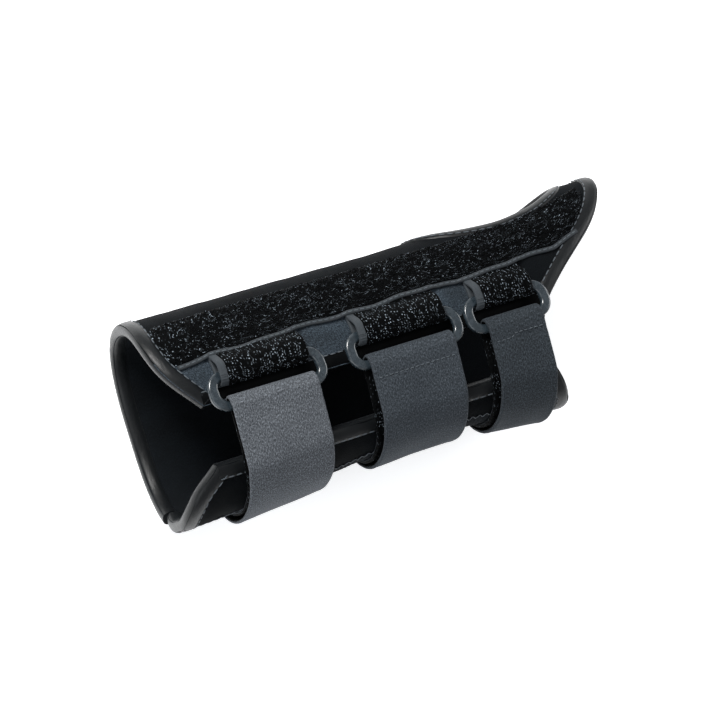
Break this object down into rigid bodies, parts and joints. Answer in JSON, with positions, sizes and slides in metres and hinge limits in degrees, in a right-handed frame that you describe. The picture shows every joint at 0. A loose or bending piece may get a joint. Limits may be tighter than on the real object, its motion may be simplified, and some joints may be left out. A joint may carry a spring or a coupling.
{
  "type": "wrist splint",
  "caption": "Right-hand wrist splint: padded fabric wrap with a palm stay, thumb opening, pile field and straps that loop through rings and fold back.",
  "frame": {"origin": "middle of the box on the surface that the palm side rests on", "axes": "+X to the fingers, +Y to the thumb side, +Z away from the palm"},
  "size_m": [0.2071, 0.0892, 0.0753],
  "materials": {
    "binding_tape": "smooth folded edge tape, slight sheen",
    "lining_fabric": "soft brushed lining",
    "body_fabric": "matt black laminated knit",
    "ribbed_elastic": "ribbed black elastic",
    "loop_pile": "black loop pile with bright loops",
    "woven_tape": "thin woven tape",
    "tab_pile": "ribbed black loop pile",
    "ring_plastic": "moulded dark slate plastic, glossy",
    "strap_pile": "black loop pile",
    "strap_fabric": "heathered dark grey knit",
    "hook_plastic": "moulded hooks",
    "stay_plastic": "spring strip",
    "stay_aluminium": "brushed, rounded ends"
  },
  "bodies": {
    "splint_body": {"dorsal_stay_radial": "stay_plastic", "dorsal_stay_ulnar": "stay_plastic", "field_edge_tape": "woven_tape", "loop_field": "loop_pile", "palmar_distal_binding": "binding_tape", "palmar_lining": "lining_fabric", "palmar_panel": "body_fabric", "palmar_proximal_binding": "binding_tape", "palmar_stay_pocket": "body_fabric", "radial_flap": "body_fabric", "radial_lining": "lining_fabric", "radial_opening_binding": "binding_tape", "radial_proximal_binding": "binding_tape", "ring_tab_1": "tab_pile", "ring_tab_2": "tab_pile", "ring_tab_3": "tab_pile", "strap_anchor_run_1": "strap_pile", "strap_anchor_run_2": "strap_pile", "strap_anchor_run_3": "strap_pile", "thumb_binding": "binding_tape", "ulnar_distal_binding": "binding_tape", "ulnar_flap": "body_fabric", "ulnar_gusset": "ribbed_elastic", "ulnar_lining": "lining_fabric", "ulnar_opening_binding": "binding_tape", "ulnar_proximal_binding": "binding_tape", "web_binding": "binding_tape"},
    "palmar_stay": {"palmar_stay": "stay_aluminium"},
    "ring_1": {"ring_1": "ring_plastic"},
    "strap_1": {"strap_pull_run_1": "strap_fabric", "hook_patch_1": "hook_plastic"},
    "ring_2": {"ring_2": "ring_plastic"},
    "strap_2": {"strap_pull_run_2": "strap_fabric", "hook_patch_2": "hook_plastic"},
    "ring_3": {"ring_3": "ring_plastic"},
    "strap_3": {"strap_pull_run_3": "strap_fabric", "hook_patch_3": "hook_plastic"}
  },
  "joints": [
    {"name": "palmar_stay_slide", "type": "slide", "parent": "splint_body", "child": "palmar_stay", "axis": [-1, 0, 0], "range_m": [0, 0.155]},
    {"name": "strap_1_peel", "type": "hinge", "parent": "splint_body", "child": "strap_1", "pos_m": [-0.06026, -0.0037, 0.06707], "axis": [-0.9902, 0, 0.1394], "range_deg": [0, 120]},
    {"name": "ring_1_rock", "type": "hinge", "parent": "splint_body", "child": "ring_1", "pos_m": [-0.06026, 0.0077, 0.06587], "axis": [0.9902, 0, -0.1394], "range_deg": [-3, 3]},
    {"name": "strap_2_peel", "type": "hinge", "parent": "splint_body", "child": "strap_2", "pos_m": [-0.00226, -0.0037, 0.0608], "axis": [-0.999, 0, 0.0444], "range_deg": [0, 120]},
    {"name": "ring_2_rock", "type": "hinge", "parent": "splint_body", "child": "ring_2", "pos_m": [-0.00226, 0.0077, 0.0596], "axis": [0.999, 0, -0.0444], "range_deg": [-3, 3]},
    {"name": "strap_3_peel", "type": "hinge", "parent": "splint_body", "child": "strap_3", "pos_m": [0.04204, -0.0037, 0.0591], "axis": [-0.9991, 0, 0.0423], "range_deg": [0, 120]},
    {"name": "ring_3_rock", "type": "hinge", "parent": "splint_body", "child": "ring_3", "pos_m": [0.04204, 0.0077, 0.0579], "axis": [0.9991, 0, -0.0423], "range_deg": [-3, 3]}
  ]
}
